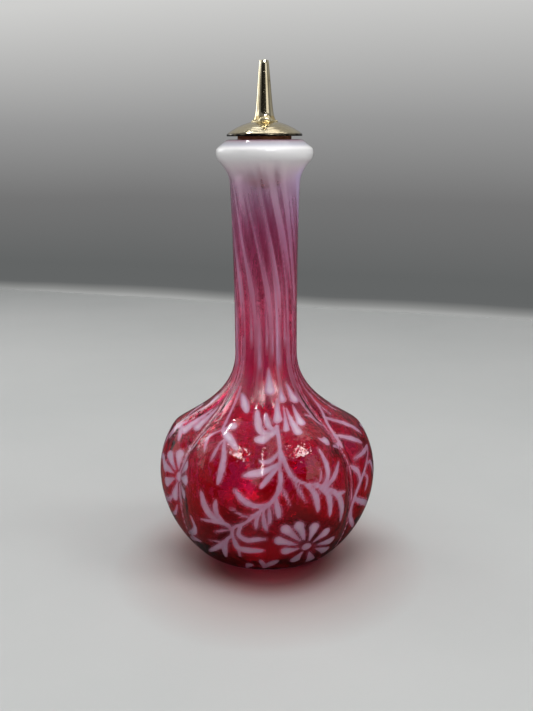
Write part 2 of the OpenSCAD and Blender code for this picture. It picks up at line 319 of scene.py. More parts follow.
# Ruby and milky colours up the bottle, with their painted shade and light.
ruby = colour_stops(tree, up_bottle, RUBY_WITH_PAINTED_SHADE_UP_BOTTLE)
deeper = span(tree, grain(tree, place, 40, 2), 0.35, 0.7, 0, 0.3)
ruby_patches = blend_colour(tree, deeper, ruby, DEEP_RUBY, "MULTIPLY")
opal_and_painted_light = colour_stops(tree, up_bottle, OPAL_WITH_PAINTED_LIGHT_UP_BOTTLE)
# The lip's bevel is painted a bluish grey, as painted shade on the top of the lip.
painted_bevel_shade = sums(tree, "MULTIPLY", span(tree, from_axis, 0.0172, 0.0193, 0.8, 0), span(tree, height, 0.1705, 0.1725))
opal_and_painted_light = blend_colour(tree, painted_bevel_shade, opal_and_painted_light, BEVEL_PAINTED_SHADE)
# The glass round the mouth is plum, darkened further as a painted shadow of the cap above it.
mouth = sums(tree, "MULTIPLY", span(tree, from_axis, 0.0150, 0.0176, 0.95, 0), span(tree, height, 0.1715, 0.1735))
opal_and_painted_light = blend_colour(tree, mouth, opal_and_painted_light, MOUTH_PLUM_AND_CAP_SHADOW)
opal_and_painted_light = blend_colour(tree, violet, opal_and_painted_light, VIOLET_TINT)
on_shoulder = sums(tree, "MULTIPLY", span(tree, height, 0.045, 0.060, 0.7, 1), span(tree, height, 0.09, 0.10, 1, 0))
heart = sums(tree, "MULTIPLY", span(tree, soft_edge, 0.4, 1.6, 0, 0.9), on_shoulder)
opal_and_painted_light = blend_colour(tree, heart, opal_and_painted_light, DENSE_OPAL)
clear = blend_colour(tree, skin, COLOURLESS, blend_colour(tree, flush, ruby_patches, ROSY_EDGE))
tree.links.new(blend_colour(tree, milk, clear, opal_and_painted_light), shader.inputs["Base Color"])
body = span(tree, height, 0.154, 0.166, 0.58, 0.96)
let_through = sums(tree, "SUBTRACT", 1.0, sums(tree, "MULTIPLY", milk, body))
tree.links.new(let_through, shader.inputs["Transmission Weight"])
smears = span(tree, grain(tree, place, 70, 5, 0.65), 0.45, 0.8, 0.01, 0.07)
at_neck_foot = band(tree, height, 66, 72, 92, 105)
blurred = sums(tree, "MAXIMUM", smears, sums(tree, "MULTIPLY", at_neck_foot, NECK_FOOT_ROUGHNESS))
milky = sums(tree, "MULTIPLY", milk, MILK_ROUGHNESS)
tree.links.new(sums(tree, "ADD", blurred, milky), shader.inputs["Roughness"])
coated = sums(tree, "MULTIPLY", milk, sums(tree, "SUBTRACT", 0.9, sums(tree, "MULTIPLY", at_neck_foot, 0.8)))
tree.links.new(coated, shader.inputs["Coat Weight"])
peel = sums(tree, "MULTIPLY", grain(tree, place, 260, 2), 0.26)
wrinkles = sums(tree, "MULTIPLY", grain(tree, place, 330, 2), band(tree, height, 49, 54, 60, 66))
raised = sums(tree, "MULTIPLY", opal, 0.02)
waves = sums(tree, "ADD", sums(tree, "ADD", grain(tree, place, 60, 3), peel), sums(tree, "ADD", wrinkles, raised))
smoother_up = span(tree, height, 0.125, 0.150, 0.35, 0.05)
bump = wire(tree, "ShaderNodeBump", {"Height": waves, "Strength": smoother_up, "Distance": WAVE_DEPTH}).outputs[0]
tree.links.new(bump, shader.inputs["Normal"])
shader.inputs["IOR"].default_value = 1.5
shader.inputs["Coat Roughness"].default_value = 0.04

outline = bpy.data.meshes.new("bottle_outline")
outline.from_pydata([(r * MM, 0, z * MM) for r, z in crown], [], [])
groove_points = outline.attributes.new("groove", "FLOAT_VECTOR", "POINT")
groove_points.data.foreach_set("vector", np.array([(r * MM, 0, z * MM) for r, z in groove], np.float32).ravel())
bottle = bpy.data.objects.new("glass_bottle_blown", outline)
bpy.context.scene.collection.objects.link(bottle)
blowing = bottle.modifiers.new("lobed_glass", "NODES")
blowing.node_group = lobed
for name, value in {
    "Rings": len(crown), "Facets": FACETS, "Lobes": LOBES, "Groove Softness": GROOVE_SOFTNESS,
    "Inside From": lip_ring, "Ripple": RIPPLE, "Finish": ruby_glass,
}.items():
    blowing[lobed_sizes[name]] = value
blown = bpy.data.meshes.new_from_object(bottle.evaluated_get(bpy.context.evaluated_depsgraph_get()))
bottle.modifiers.clear()
bottle.data = blown

points = np.empty(len(blown.vertices) * 3, np.float32)
blown.vertices.foreach_get("co", points)
points = points.reshape(-1, 3) / MM
rings = np.empty(len(blown.vertices), np.float32)
blown.attributes["ring"].data.foreach_get("value", rings)
outside = (rings >= foot_ring - 0.5) & (rings <= lip_ring + 0.5)
outer_crown = crown[foot_ring:lip_ring + 1]
outer_groove = groove[foot_ring:lip_ring + 1]
run_up = np.concatenate([[0], np.cumsum(np.linalg.norm(np.diff(outer_crown, axis=0), axis=1))])


def on_glass(turn, run):
    """A place on the outside of the glass, from its turn off the front in degrees and its length up the outline."""
    angle = math.radians(270 + turn)
    off_groove = abs(2 * ((turn + 270) * LOBES / 360 % 1) - 1)
    share = 1 - (1 - math.hypot(off_groove, GROOVE_SOFTNESS))**2
    r, z = ((1 - share) * np.interp(run, run_up, outer_groove[:, k])
            + share * np.interp(run, run_up, outer_crown[:, k]) for k in (0, 1))
    return (r * math.cos(angle), r * math.sin(angle), z)


outer = np.flatnonzero(outside)
near = KDTree(len(outer))
for k in outer:
    near.insert(points[k], int(k))
near.balance()
opal_reach = np.full(len(points), -2.0, np.float32)


def dab(turn, run, width):
    """A round spot of milky glass, here and on the other half of the mould."""
    for half in (0, 180):
        for _, k, off in near.find_range(on_glass(turn + half, run), width + 1.5):
            opal_reach[k] = max(opal_reach[k], width - off)


def path(places, steps=30):
    """Evenly timed points of a smooth line through the given places, with their share of the way."""
    held = np.array([places[0], *places, places[-1]], float)
    for t in np.linspace(0, 1, steps):
        k = min(int(t * (len(places) - 1)), len(places) - 2)
        u = t * (len(places) - 1) - k
        a, b, c, d = held[k:k + 4]
        bend, twist = 2 * a - 5 * b + 4 * c - d, 3 * b - a - 3 * c + d
        yield t, *(0.5 * (2 * b + (c - a) * u + bend * u * u + twist * u**3))


def leaf(width, *places):
    """A bent leaf, webbed where it leaves its stem, fullest past its middle and blunt at its tip."""
    for t, turn, run in path(places):
        dab(turn, run, width * (0.5 + 0.9 * t if t < 0.55 else max(0.0, 1 - ((t - 0.55) / 0.45)**2)**0.6))


def stem(width, *places):
    """A stem that thins towards its end."""
    for t, turn, run in path(places, 16 * len(places)):
        dab(turn, run, width * (1 - 0.4 * t))


def drop(width, *places):
    """A drop, narrow at its first place and round and full at its last."""
    for t, turn, run in path(places):
        dab(turn, run, width * (0.18 + 0.82 * t))


def daisy(middle, width, tips):
    """A daisy of drop-shaped petals round a button, each petal out to its own tip."""
    dab(*middle, 2.3)
    for tip in tips:
        drop(width, *(np.array(middle) + (np.array(tip) - middle) * t for t in (0.34, 0.67, 1.0)))


# The daisy in front, and the one round the left side
daisy((25.2, 22.3), 2.35, [
    (8.8, 27.8), (12.0, 33.4), (18.8, 34.2), (27.2, 32.5), (35.5, 28.6),
    (43.0, 22.4), (43.5, 15.8), (34.5, 10.6), (20.8, 13.6), (13.2, 21.2),
])
side_daisy = (-60.5, 50)
daisy(side_daisy, 2.3, [
    (side_daisy[0] + 14 * math.cos(math.radians(36 * k)), side_daisy[1] + 10.5 * math.sin(math.radians(36 * k)))
    for k in range(10)
])
# The spray that bends down to the left
stem(1.15, (9.5, 58), (9, 53), (6.5, 48), (2, 44.5), (-4, 40.8), (-10, 36.3), (-16, 33.5),
     (-17, 29), (-15.5, 23), (-15.5, 17))
leaf(1.35, (3, 45.5), (-4, 44.3), (-10, 46.0), (-15, 50.3))
leaf(0.75, (-1, 42.5), (-9.5, 39.6), (-17, 42.3))
leaf(1.45, (6.5, 48), (7.5, 43.5), (8.2, 38.8))
leaf(1.15, (3, 45), (3.4, 40.5), (3.2, 36.2))
leaf(1.15, (0, 42.5), (0.3, 37.5), (1.9, 33.0))
leaf(1.1, (-1.5, 42), (-3.8, 38), (-3.8, 34.2))
leaf(1.85, (-18, 34.3), (-26, 36.6), (-30.5, 41), (-33, 47.6))
leaf(1.35, (-20.5, 35.2), (-24.4, 39.5), (-24.2, 45.2))
leaf(1.1, (-17, 34.2), (-25, 34.9), (-35.5, 34.7))
leaf(0.75, (-17, 32.8), (-21.5, 31.5), (-27.5, 29.8))
leaf(1.5, (-12, 34.8), (-13.7, 30.5), (-9.5, 27.9), (-4, 28.8), (2, 29.2))
leaf(1.95, (-16.5, 27), (-15.2, 22.8), (-9.5, 21.9), (0, 22.4))
leaf(1.45, (-17, 30), (-24, 24.2), (-31, 19.7), (-41, 15))
leaf(1.45, (-20.5, 27), (-23.8, 21.5), (-26.7, 14.0))
leaf(0.6, (-19, 27.2), (-26, 24.8), (-34, 24.2))
# The spray that bends out to the right
stem(1.1, (10.5, 67), (13, 60), (15, 56), (19, 53), (24, 51), (30, 49.6), (36, 46.6))
leaf(0.75, (8.8, 53), (11.5, 48.3), (14.3, 43.2))
leaf(0.8, (15.5, 55), (18.3, 49.7), (21.8, 44.2))
leaf(1.5, (22, 51.3), (26.6, 46.8), (28.4, 39.0))
leaf(1.5, (28, 50), (34.4, 45), (36.2, 35.8))
leaf(1.95, (33, 48.6), (41, 44.6), (45.5, 38.6), (46.3, 31.8))
leaf(1.1, (33.5, 47.8), (40, 45.6), (49, 45))
leaf(0.7, (24.5, 51), (29.6, 52), (31.2, 57))
leaf(1.45, (30, 49.5), (34.3, 52.5), (35, 58), (32.3, 65))
leaf(1.35, (32, 49.4), (38.5, 52.3), (46, 59))
# The stem up the middle, with the leaves and drops on the shoulder above it
stem(1.1, (10.5, 78), (10.5, 70), (9.5, 62), (9.5, 55))
leaf(2.2, (9.5, 75.5), (1, 73.5), (-6.5, 72))
leaf(1.9, (9, 75.3), (-3, 76.3), (-8, 86))
leaf(1.5, (9.5, 76), (4, 78.5), (0.8, 84.5))
drop(2.1, (15.2, 91), (13.5, 86), (12.2, 81.5))
leaf(1.7, (9, 62.3), (0, 60.8), (-11, 56.4))
leaf(1.35, (8.8, 61.2), (3.2, 57.6), (-2, 52.2))
leaf(1.2, (9.2, 67), (4.5, 65.2), (-3, 65.6))
drop(1.5, (20.8, 88), (18.6, 81), (17, 76))
drop(2.1, (23, 87), (23.2, 80), (24, 74))
drop(2.2, (31.5, 88), (30.6, 83), (30.3, 78.8))
drop(2.3, (34, 98), (36, 94), (37, 90.8))
drop(1.7, (22.5, 97), (22, 94), (21.8, 91.2))
drop(2.3, (6.5, 104), (6.6, 99), (6.8, 94.8))
# The sprig on the left shoulder, and loose leaves and drops
leaf(1.9, (-30, 74.3), (-24, 71.5), (-15.6, 66.6))
drop(2.1, (-30, 74.5), (-26.5, 76), (-24.3, 77))
leaf(0.9, (-25.5, 69), (-27.4, 64.5), (-29.2, 59.5))
leaf(1.55, (-24.5, 69), (-22.2, 63), (-22.3, 56.5), (-23.6, 50.6))
leaf(1.9, (-31, 93), (-24, 89.6), (-17.2, 84.6))
leaf(1.1, (-30.5, 74), (-36.5, 69.5), (-34.6, 62.5))
stem(0.9, (-30, 74), (-34, 84), (-38, 96))
drop(2.2, (35, 69), (38, 67.8), (40.5, 67.5))
drop(1.9, (-16, 4), (-13.5, 7), (-11.5, 9.6))
leaf(1.7, (-1, 6.5), (3.5, 10.8), (9.5, 14.6))
leaf(1.3, (-0.5, 6.5), (-1.2, 11), (-3, 15.5))
# Round the left side
drop(2.0, (-63, 84), (-65, 78), (-66, 72.5))
drop(2.1, (-67, 82), (-70, 75), (-71.5, 69))
leaf(1.4, (-76, 72), (-79, 67), (-80, 61))
leaf(1.2, (-62, 66), (-53, 64.2), (-47, 66.5), (-43.5, 75))
leaf(1.6, (-43, 34.6), (-41.8, 29.5), (-47, 25.8), (-60, 23))
leaf(1.6, (-42.5, 21.5), (-50, 21.6), (-62, 19))
leaf(1.2, (-66, 40), (-72, 36), (-78, 34.5))
leaf(1.1, (-64, 36), (-68, 31), (-74, 28))
# Round the right side
stem(1.1, (60, 33), (63, 40), (68, 46.5), (74, 51.5), (81, 57))
leaf(1.6, (62.5, 40), (70, 36), (83, 30))
leaf(1.5, (61, 36), (63, 30), (71, 22.5))
leaf(1.3, (67, 46), (66, 51), (61, 56))
leaf(1.2, (70, 48.5), (74, 45), (72, 40))
leaf(1.2, (74, 52), (80, 50), (83, 43.5))
leaf(1.3, (46, 65.5), (54, 66.2), (64, 68))
leaf(1.2, (66, 57.5), (74, 57), (82, 58))
stem(0.9, (62, 66), (64, 75), (69, 82), (72, 90))
leaf(1.2, (63, 70), (70, 66), (77, 60))
leaf(1.2, (66, 78), (74, 72), (81, 63))
leaf(1.2, (39, 82), (44.5, 80.6), (50, 76.5), (60, 75))
stem(0.8, (47.5, 78), (45.5, 85), (43.5, 93))
# The sprig between the two halves of the mould
stem(1.1, (99, 6), (96.5, 16), (93.5, 30), (93, 44), (96, 56), (99.5, 68), (100.5, 80))
leaf(1.5, (97, 13), (91, 17), (84.5, 17.5))
leaf(1.5, (95.5, 20), (101, 21), (108, 17.5))
leaf(1.6, (93.7, 29), (88, 33), (82.5, 31.5))
leaf(1.6, (93.2, 35), (99, 36), (105, 31))
leaf(1.5, (93.2, 46), (89.5, 51), (85.5, 50))
leaf(1.6, (94.5, 51), (101, 52.5), (106.5, 47.5))
leaf(1.4, (96.5, 58), (92, 63.5), (86, 66))
leaf(1.4, (99, 66), (105, 68.5), (110, 64))
drop(1.6, (100, 72), (95.5, 76), (92.5, 80.5))
drop(1.5, (100.5, 78), (103, 83), (103, 88))
# Thin lines drawn out over the shoulder and along the creases
for turn in (-76, -53, -46, 47, 54, 70, 80):
    stem(0.55, (1.04 * turn, 78), (turn, 92), (0.96 * turn, 104), (0.92 * turn, 118))
for crease in (-60, 60):
    stem(0.7, (crease, 14), (crease, 40), (crease, 66), (crease, 92), (crease, 116))

VIOLET_AT = -15
VIOLET_WIDTH = 24
HANGING_STREAKS = (
    (-60, 5, 94), (-25, 3, 91), (-10, 5, 80), (4, 2.5, 89), (14, 3, 86), (26, 5.5, 81),
    (39, 3, 90), (62, 5, 94), (92, 7, 81), (113, 6, 79),
)


def by_height(*steps):
    """A value at every point of the glass, from steps of (height, value) up the bottle."""
    return np.interp(points[:, 2], *zip(*steps))


lean = np.radians(by_height(
    (0, 0), (95, 0), (105, 1), (115, 4), (125, 11), (137, 21), (150, 32), (160, 40), (175, 48)))
round_axis = np.arctan2(points[:, 1], points[:, 0])
swirl = round_axis + lean
draws = np.random.default_rng(5)
streaks = np.zeros(len(points))
for waves_round in (4, 7, 9, 11, 13, 16, 19, 23, 28, 34, 41, 52):
    start, climb = draws.uniform(0, math.tau), draws.normal(0, 0.05)
    weight = draws.uniform(0.5, 1.2) / waves_round**0.16
    streaks += weight * np.cos(waves_round * swirl + start + climb * points[:, 2])
haze = by_height(
    (0, 0.55), (1.2, 0.5), (2.2, 0), (76, 0), (86, 0.02), (100, 0.17), (115, 0.34), (130, 0.27), (142, 0.30),
    (150, 0.38), (157, 0.58), (163, 0.78), (167, 0.93), (170, 1))
stir = by_height(
    (0, 0), (70, 0), (88, 0.26), (110, 0.30), (140, 0.20), (150, 0.17), (157, 0.09), (163, 0.05), (168, 0))
off_violet = (np.degrees(round_axis) - VIOLET_AT + 180) % 360 - 180
violets = np.exp(-(off_violet / VIOLET_WIDTH)**2) * by_height((126, 0), (144, 0.8), (161, 0.8), (166, 0))
drawn = np.clip(haze + stir * streaks + 0.45 * violets, 0, 1)
for turn, width, end in HANGING_STREAKS:
    off = (np.degrees(swirl) - 270 - turn + 90) % 180 - 90
    hanging = np.exp(-(off / width)**2) * by_height((end, 0), (end + 5, 0.8), (100, 0.62), (128, 0))
    drawn = np.maximum(drawn, hanging)
lining = by_height((163, 0), (168, 0.8), (171, 1))
veils = np.where(outside, drawn, lining)
for name, values in (("opal", opal_reach), ("veil", veils), ("violet", violets), ("skin", outside)):
    blown.attributes.new(name, "FLOAT", "POINT").data.foreach_set("value", np.asarray(values, np.float32))
blown.attributes.remove(blown.attributes["ring"])
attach(bottle, "bottle")
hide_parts("glass_bottle")

# Cork. A tapered natural cork, cut across the grain and bored through its middle, pushed into the ground mouth.
# It is matt and darkened by use, with short dark pores.
CORK_R = 10.9
CORK_END_R = 9.7
CORK_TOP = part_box("cork")[1].z / MM
CORK_BORE = 2.85
CORK_TONES = [(0.25, 0.30, 0.10, 0.035), (0.5, 0.46, 0.17, 0.065), (0.75, 0.60, 0.26, 0.11)]
CORK_STAIN = (0.26, 0.06, 0.028, 1)
CORK_PORE = (0.05, 0.018, 0.008, 1)


def ring_faces(rings, count):
    """Faces from each ring of points to the next, closed both ways."""
    faces = []
    for here in range(rings):
        after = (here + 1) % rings
        for k in range(count):
            up = (k + 1) % count
            faces.append((here * count + k, after * count + k, after * count + up, here * count + up))
    return faces


def turned(name, outline, facets, finish, sharp=30):
    """A ring-shaped piece turned about the bottle's axis from its closed outline in (radius, height)."""
    at = [(r * MM * math.cos(math.tau * j / facets), r * MM * math.sin(math.tau * j / facets), z * MM)
          for j in range(facets) for r, z in outline]
    mesh = bpy.data.meshes.new(name)
    mesh.from_pydata(at, [], ring_faces(facets, len(outline)))
    mesh.materials.append(finish)
    mesh.shade_smooth()
    mesh.set_sharp_from_angle(angle=math.radians(sharp))
    piece = bpy.data.objects.new(name, mesh)
    bpy.context.scene.collection.objects.link(piece)
    return piece


cork_finish, tree, shader, place = new_finish("used_cork")
long_grain = wire(tree, "ShaderNodeMapping", {"Vector": place, "Scale": (1, 1, 0.45)}).outputs[0]
cells = grain(tree, place, 420, 4)
pores = wire(tree, "ShaderNodeTexVoronoi", {"Vector": long_grain, "Scale": 260.0, "Randomness": 1.0}).outputs[0]
pore_mask = span(tree, pores, 0.10, 0.30, 1, 0)
bark = colour_stops(tree, cells, CORK_TONES)
stained = blend_colour(tree, span(tree, grain(tree, place, 90, 3), 0.4, 0.7, 0, 0.6), bark, CORK_STAIN)
tree.links.new(blend_colour(tree, pore_mask, stained, CORK_PORE), shader.inputs["Base Color"])
tree.links.new(span(tree, cells, 0, 1, 0.7, 0.95, "LINEAR"), shader.inputs["Roughness"])
cork_relief = sums(tree, "SUBTRACT", sums(tree, "MULTIPLY", cells, 0.4), pore_mask)
bump = wire(tree, "ShaderNodeBump", {"Height": cork_relief, "Strength": 0.6, "Distance": 0.0004}).outputs[0]
tree.links.new(bump, shader.inputs["Normal"])
cork = turned("cork_tapered", [
    (CORK_BORE, CORK_END), (CORK_END_R - 0.8, CORK_END), (CORK_END_R - 0.2, CORK_END + 0.25),
    (CORK_END_R + 0.05, CORK_END + 0.8),
    *np.linspace((CORK_END_R + 0.06, CORK_END + 1), (CORK_R, LIP_TOP), 12),
    (CORK_R, CORK_TOP - 0.3), (CORK_R - 0.3, CORK_TOP), (CORK_BORE, CORK_TOP),
], 128, cork_finish)
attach(cork, "stopper")
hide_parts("cork")

# Domed cap. Thin brass sheet spun to a dome with a short upright rim, nickel plated, with its top flat under the
# spout. It sits over the cork's head and is soldered to the tube. The spinning has left faint rings round it. Its
# rim is painted black, as painted shade and a painted dark reflection in the rim's face.
CAP_R = 15.3
CAP_T = 0.6
CAP_RIM = 176.3
CAP_RIM_H = 0.8
CAP_TOP = 181.9
CAP_FLAT_R = 5.4
STEM_HOLE = 2.83
NICKEL_TONES = [(0.25, 0.54, 0.45, 0.29), (0.5, 0.72, 0.63, 0.43), (0.8, 0.82, 0.74, 0.55)]
PIT_BROWN = (0.10, 0.07, 0.04, 1)
# Black painted on the cap's rim, as painted shade and a painted dark reflection.
RIM_PAINTED_BLACK = (0.015, 0.013, 0.011)


def plated_metal(name, wear_and_shade_low, wear_and_shade_high, wear_and_shade_colour, pits, dull=0.0, spun=0.0):
    """Warm nickel plate with scratches, pits and spin marks, worn, stained or painted shade between two heights in
    mm.
    """
    finish, tree, shader, place = new_finish(name)
    nickel = colour_stops(tree, grain(tree, place, 130, 4), NICKEL_TONES)
    # A band between two heights: worn to brass, stained, or on the cap's rim painted black as shade.
    in_reach = band(tree, up_from_table(tree, place), wear_and_shade_low - 0.4, wear_and_shade_low, wear_and_shade_high, wear_and_shade_high + 0.6)
    patchy = span(tree, grain(tree, place, 420, 3), 0.30, 0.55, 0.75, 1.0)
    wear_and_shade = sums(tree, "MULTIPLY", in_reach, patchy)
    plate_with_wear_and_shade = blend_colour(tree, wear_and_shade, nickel, (*wear_and_shade_colour, 1))
    holes = wire(tree, "ShaderNodeTexVoronoi", {"Vector": place, "Scale": 700.0}).outputs[0]
    scattered = span(tree, grain(tree, place, 300, 2), 0.55, 0.68)
    pit = sums(tree, "MULTIPLY", sums(tree, "MULTIPLY", span(tree, holes, 0.12, 0.28, 1, 0), scattered), pits)
    tree.links.new(blend_colour(tree, pit, plate_with_wear_and_shade, PIT_BROWN), shader.inputs["Base Color"])
    rubbed = wire(tree, "ShaderNodeMapping", {"Vector": place, "Scale": (1, 1, 7)}).outputs[0]
    scratches = grain(tree, rubbed, 500, 5, 0.7)
    marks = sums(tree, "ADD", scratches, sums(tree, "MULTIPLY", pit, 0.6))
    tree.links.new(span(tree, marks, 0.35, 1.0, 0.05 + dull, 0.26 + dull), shader.inputs["Roughness"])
    wavering = sums(tree, "ADD", off_axis(tree, place), sums(tree, "MULTIPLY", grain(tree, place, 90, 2), 0.0025))
    rings = wire(tree, "ShaderNodeTexNoise", {"W": wavering, "Scale": 620.0, "Detail": 2.0},
                 noise_dimensions="1D").outputs[0]
    dents = sums(tree, "MULTIPLY", grain(tree, place, 160, 2), 0.35)
    waves = sums(tree, "ADD", dents, sums(tree, "MULTIPLY", rings, spun))
    relief = sums(tree, "SUBTRACT", waves, pit)
    bump = wire(tree, "ShaderNodeBump", {"Height": relief, "Strength": 0.22, "Distance": 0.0002}).outputs[0]
    tree.links.new(bump, shader.inputs["Normal"])
    shader.inputs["Metallic"].default_value = 1.0
    return finish


dome_h = CAP_TOP - CAP_RIM - CAP_RIM_H
cap_middle = (CAP_RIM + CAP_RIM_H + CAP_TOP) / 2 - (CAP_R**2 - CAP_FLAT_R**2) / (2 * dome_h)
cap_ball = math.hypot(CAP_R, CAP_RIM + CAP_RIM_H - cap_middle)
cap_lining = cap_ball - CAP_T
cap_edge = math.degrees(math.acos((CAP_R - 0.12) / cap_ball))
cap_flat = math.degrees(math.acos(CAP_FLAT_R / cap_ball))
lining_edge = math.degrees(math.acos((CAP_R - CAP_T) / cap_lining))
lining_flat = math.degrees(math.asin((CAP_TOP - CAP_T - cap_middle) / cap_lining))
# The band up to the rim's top is painted black as painted shade.
cap = turned("dome_cap_spun", [
    (CAP_R - 0.42, CAP_RIM + 0.02), (CAP_R - 0.3, CAP_RIM), (CAP_R - 0.12, CAP_RIM + 0.04), (CAP_R, CAP_RIM + 0.2),
    (CAP_R, CAP_RIM + CAP_RIM_H - 0.22), (CAP_R - 0.04, CAP_RIM + CAP_RIM_H - 0.06),
    *arc((0, cap_middle), cap_ball, cap_edge, cap_flat, 22), (CAP_FLAT_R - 0.3, CAP_TOP),
    (STEM_HOLE, CAP_TOP), (STEM_HOLE, CAP_TOP - CAP_T),
    *arc((0, cap_middle), cap_lining, lining_flat, lining_edge, 16), (CAP_R - CAP_T, CAP_RIM + 0.15),
], 144, plated_metal("cap_plate", 175.0, 177.1, RIM_PAINTED_BLACK, pits=0.6, dull=0.06, spun=3.0), 40)
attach(cap, "pourer")
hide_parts("dome_cap")

# Spout. A tapered tube drawn from sheet, flared at its foot and soldered to the cap, with a small open mouth.
# The solder has left a thin uneven bead round the foot, where the plate is worn to brass.
SPOUT_FOOT_R = 5.0
SPOUT_TIP = 206.0
SPOUT_TIP_R = 1.9
SPOUT_HOLE_R = 1.25
STEM_TOP = 184.9
STEM_BORE = 2.3
WORN_BRASS = (0.72, 0.56, 0.28)
spout_foot = np.array([SPOUT_FOOT_R, CAP_TOP + 0.4])
spout_tip = np.array([SPOUT_TIP_R, SPOUT_TIP - 0.25])
spout = turned("spout_drawn", [
    (STEM_HOLE, CAP_TOP + 0.01), (SPOUT_FOOT_R - 0.1, CAP_TOP + 0.01), (SPOUT_FOOT_R, CAP_TOP + 0.12), spout_foot,
    *curve(spout_foot, spout_foot + (-1.7, 0.9), spout_tip + (1.45, -15.8), spout_tip, 36),
    (SPOUT_TIP_R - 0.08, SPOUT_TIP - 0.07), (SPOUT_TIP_R - 0.25, SPOUT_TIP), (SPOUT_HOLE_R + 0.12, SPOUT_TIP),
    (SPOUT_HOLE_R, SPOUT_TIP - 0.12), (STEM_BORE, STEM_TOP + 0.03), (STEM_HOLE, STEM_TOP + 0.03),
], 96, plated_metal("spout_plate", 182.4, 184.0, WORN_BRASS, pits=0.7), 40)
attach(spout, "pourer")
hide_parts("spout")

# Solder. The bead of soft solder that joins the spout to the cap, straw-coloured and duller than the plate. It was
# run on by hand, so it is lumpy all round, and one larger blob was left at the front.
BEAD_R = 5.0
BEAD_STEPS = 144
BEAD_SIDES = 16
BEAD_THIN = 0.36
BLOB_TURN = math.radians(278)
BLOB_WIDTH = 0.5
BLOB_SIZE = 1.3
SOLDER_STRAW = (0.86, 0.75, 0.48)
bead_turn = np.arange(BEAD_STEPS) * math.tau / BEAD_STEPS
off_blob = (bead_turn - BLOB_TURN + math.pi) % math.tau - math.pi
lumps = np.random.default_rng(11)
bead_size = BEAD_THIN + BLOB_SIZE * np.exp(-(off_blob / BLOB_WIDTH)**2)
for count in (5, 8, 13, 21):
    bead_size += 0.05 * np.cos(count * bead_turn + lumps.uniform(0, math.tau))
bead_points = []
for turn, size in zip(bead_turn, bead_size):
    for around in np.arange(BEAD_SIDES) * math.tau / BEAD_SIDES:
        knob = size * (1 + 0.10 * math.cos(3 * around + 9 * turn) + 0.07 * math.sin(5 * around - 14 * turn))
        r = BEAD_R + 1.15 * knob * math.cos(around)
        z = CAP_TOP + 0.05 + 0.7 * (size - BEAD_THIN) + 0.95 * knob * math.sin(around)
        bead_points.append((r * MM * math.cos(turn), r * MM * math.sin(turn), z * MM))
bead_mesh = bpy.data.meshes.new("spout_solder")
bead_mesh.from_pydata(bead_points, [], ring_faces(BEAD_STEPS, BEAD_SIDES))
bead_mesh.materials.append(plated_metal("solder_bead", 180.0, 184.0, SOLDER_STRAW, pits=0.8, dull=0.3))
bead_mesh.shade_smooth()
bead = bpy.data.objects.new("spout_solder", bead_mesh)
bpy.context.scene.collection.objects.link(bead)
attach(bead, "pourer")

# Stem tube. A straight plated tube through the cork, soldered into the spout at its top. Its lower end is spread
# over to hold the washer.
STEM_R = 2.8
STEM_END = 156.05
FLANGE_R = 3.8
WASHER_END = 156.85
STAINED_BRASS = (0.40, 0.26, 0.10)
stem_tube = turned("stem_tube_spread", [
    (STEM_BORE, STEM_END + 0.15), (STEM_BORE + 0.15, STEM_END), (FLANGE_R - 0.2, STEM_END),
    (FLANGE_R, STEM_END + 0.2), (FLANGE_R, WASHER_END - 0.2), (FLANGE_R - 0.15, WASHER_END), (STEM_R, WASHER_END),
    *np.linspace((STEM_R, WASHER_END + 0.2), (STEM_R, STEM_TOP), 8), (STEM_BORE, STEM_TOP),
    *np.linspace((STEM_BORE, STEM_TOP - 0.2), (STEM_BORE, STEM_END + 0.5), 8),
], 64, plated_metal("stem_plate", 155.0, 158.0, STAINED_BRASS, pits=1.0), 40)
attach(stem_tube, "pourer")
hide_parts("stem_tube")

# Washer. A flat stamped ring under the cork, which the tube's spread end pulls up against it. Its plate is
# stained by what the bottle held.
WASHER_R = 6.0
WASHER_TOP = 157.85
washer = turned("stem_washer_stamped", [
    (STEM_HOLE, WASHER_END + 0.12), (STEM_HOLE + 0.12, WASHER_END), (WASHER_R - 0.18, WASHER_END),
    (WASHER_R, WASHER_END + 0.18), (WASHER_R, WASHER_TOP - 0.1), (WASHER_R - 0.1, WASHER_TOP),
    (STEM_HOLE + 0.1, WASHER_TOP), (STEM_HOLE, WASHER_TOP - 0.1),
], 80, plated_metal("washer_plate", 156.0, 158.4, STAINED_BRASS, pits=1.0), 40)
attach(washer, "pourer")
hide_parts("stem_washer")

# Table and backdrop. A pale table runs back to a plain grey sheet that stands behind the bottle. The bottle's
# shadow, reddened by the light that falls through the glass, is painted into the table's colour, and reflections
# see the table painted nearly black. The sheet glows with painted light, dark near its foot and bright towards its
# top. A dark card and two bright ones stand for the room around, and only reflections show them.
SHEET_HALF = 1.6
SHEET_FRONT = -1.2
BACKDROP_MIDDLE = 0.68
BACKDROP_SLANT = 0.39
SHEET_TOP = 1.6
TABLE_TONES = [(0.3, 0.53, 0.54, 0.53), (0.7, 0.565, 0.57, 0.56)]
TABLE_PAINTED_DARK_IN_REFLECTIONS = (0.03, 0.03, 0.03, 1)
# The bottle's shadow on the table, reddened by light through the glass, is painted into the table's colour.
PAINTED_SHADOW_MIDDLE = (0.002, -0.012, 0)
PAINTED_SHADOW_NARROWER = (1.28, 1, 1)
PAINTED_SHADOW_REACH = 0.1
PAINTED_SHADOW_TONES = [
    (0.0, 0.85, 0.20, 0.25), (0.15, 0.66, 0.12, 0.15), (0.21, 0.42, 0.08, 0.10), (0.27, 0.34, 0.13, 0.14),
    (0.32, 0.46, 0.28, 0.28), (0.41, 0.67, 0.55, 0.55), (0.54, 0.83, 0.74, 0.73), (0.85, 1, 1, 1),
]
